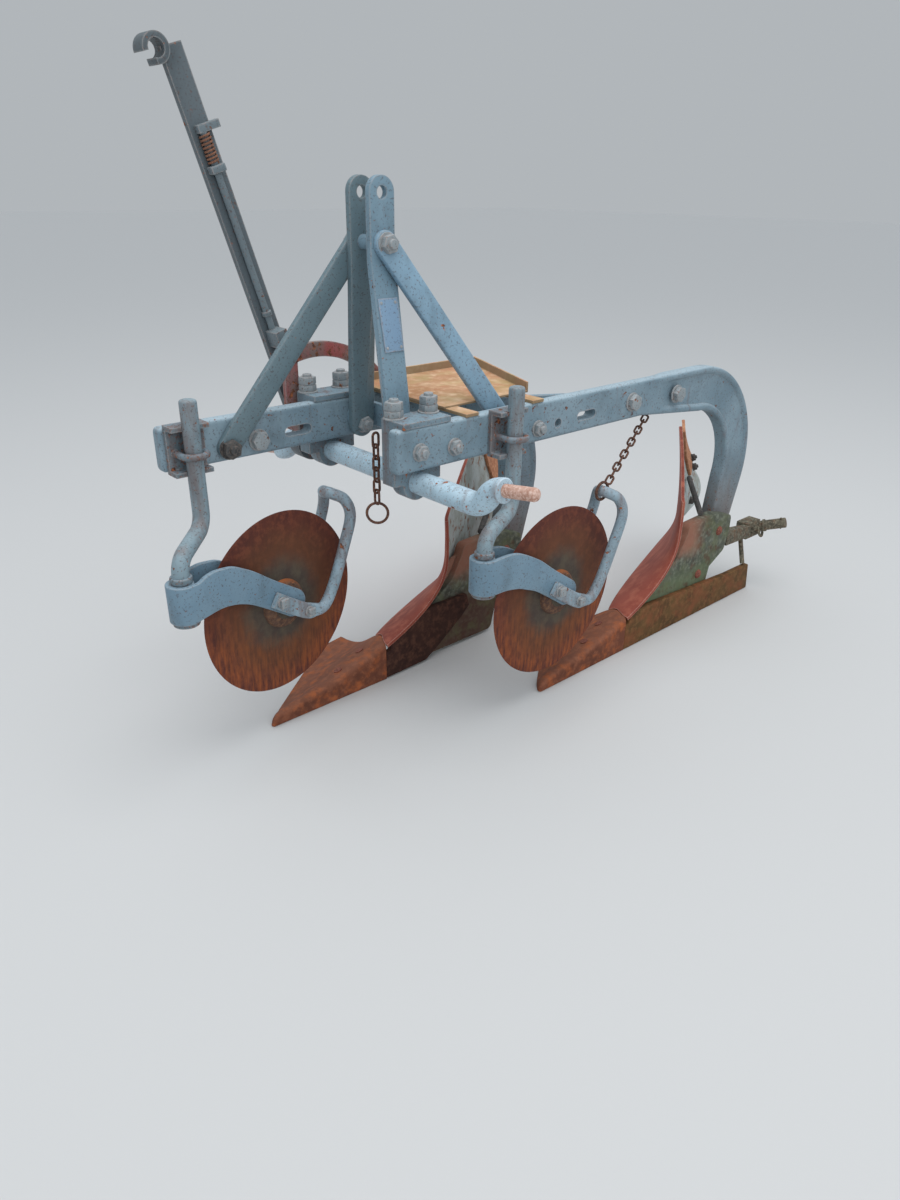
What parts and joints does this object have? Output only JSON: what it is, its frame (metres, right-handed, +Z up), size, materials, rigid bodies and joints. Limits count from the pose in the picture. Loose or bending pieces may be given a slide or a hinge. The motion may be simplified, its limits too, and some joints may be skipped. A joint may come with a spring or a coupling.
{
  "type": "two-furrow mounted moldboard plough",
  "caption": "Mounted moldboard plough with two right-turning bodies, disc coulters, levelling lever and three-point headstock.",
  "frame": {"origin": "on the floor under the middle of the plough", "axes": "+Y to the rear, against travel; +X to the plough's left, the unploughed land side; +Z up"},
  "size_m": [0.8048, 1.7189, 1.189],
  "materials": {
    "blue_grey_paint": "old brushed paint, chipped to rust at its edges",
    "worn_plate_paint": "painted over, blank",
    "red_rusted_paint": "flaked red paint over rust",
    "rusted_tray_sheet": "dry tan rust",
    "rusted_chain": "dark rust",
    "green_brown_cast": "cast iron with thin green and brown weathering",
    "orange_rust_share": "even orange-brown rust on worn steel",
    "olive_brown_steel": "olive-brown rust on worn steel",
    "dark_iron": "dark grey worn iron",
    "dark_red_disc": "dark red-brown rust with a grey middle"
  },
  "bodies": {
    "root": {"left_beam": "blue_grey_paint", "right_beam": "blue_grey_paint", "front_brace": "blue_grey_paint", "rear_brace": "blue_grey_paint", "left_upright": "blue_grey_paint", "right_upright": "blue_grey_paint", "left_stay": "blue_grey_paint", "right_stay": "blue_grey_paint", "mast_spacer": "blue_grey_paint", "name_plate": "worn_plate_paint", "left_shaft_bracket": "blue_grey_paint", "right_shaft_bracket": "blue_grey_paint", "quadrant": "red_rusted_paint", "tray": "rusted_tray_sheet", "hanging_chain": "rusted_chain", "rear_chain": "rusted_chain", "rear_frog": "green_brown_cast", "front_frog": "green_brown_cast", "rear_share": "orange_rust_share", "front_share": "orange_rust_share", "rear_landside": "olive_brown_steel", "front_landside": "olive_brown_steel", "rear_mouldboard": "orange_rust_share", "front_mouldboard": "orange_rust_share", "rear_tail_piece": "orange_rust_share", "front_tail_piece": "orange_rust_share", "rear_board_stay": "dark_iron", "front_board_stay": "dark_iron", "furrow_wheel_stub": "green_brown_cast", "rear_clamp": "blue_grey_paint", "front_clamp": "blue_grey_paint", "rear_stalk": "blue_grey_paint", "front_stalk": "blue_grey_paint"},
    "cross_shaft": {"cross_shaft": "blue_grey_paint", "lever": "dark_iron", "lever_latch": "dark_iron"},
    "rear_yoke": {"rear_yoke": "blue_grey_paint", "rear_guard": "blue_grey_paint"},
    "front_yoke": {"front_yoke": "blue_grey_paint", "front_guard": "blue_grey_paint"},
    "rear_disc": {"rear_disc": "dark_red_disc"},
    "front_disc": {"front_disc": "dark_red_disc"}
  },
  "joints": [
    {"name": "shaft_turn", "type": "hinge", "parent": "root", "child": "cross_shaft", "pos_m": [0, -0.43976, 0.518], "axis": [1, 0, 0], "range_deg": [-50, 2]},
    {"name": "rear_swivel", "type": "hinge", "parent": "root", "child": "rear_yoke", "pos_m": [0.21024, -0.36039, 0.3], "axis": [0, 0, 1], "range_deg": [-3, 10], "deforming": ["rear_chain"]},
    {"name": "front_swivel", "type": "hinge", "parent": "root", "child": "front_yoke", "pos_m": [-0.01707, -0.83247, 0.3], "axis": [0, 0, 1], "range_deg": [-10, 10]},
    {"name": "rear_disc_spin", "type": "hinge", "parent": "rear_yoke", "child": "rear_disc", "pos_m": [0.20516, -0.15245, 0.25], "axis": [0.9997, 0.0244, 0], "continuous": true},
    {"name": "front_disc_spin", "type": "hinge", "parent": "front_yoke", "child": "front_disc", "pos_m": [-0.05533, -0.62802, 0.278], "axis": [0.9829, 0.184, 0], "continuous": true}
  ]
}
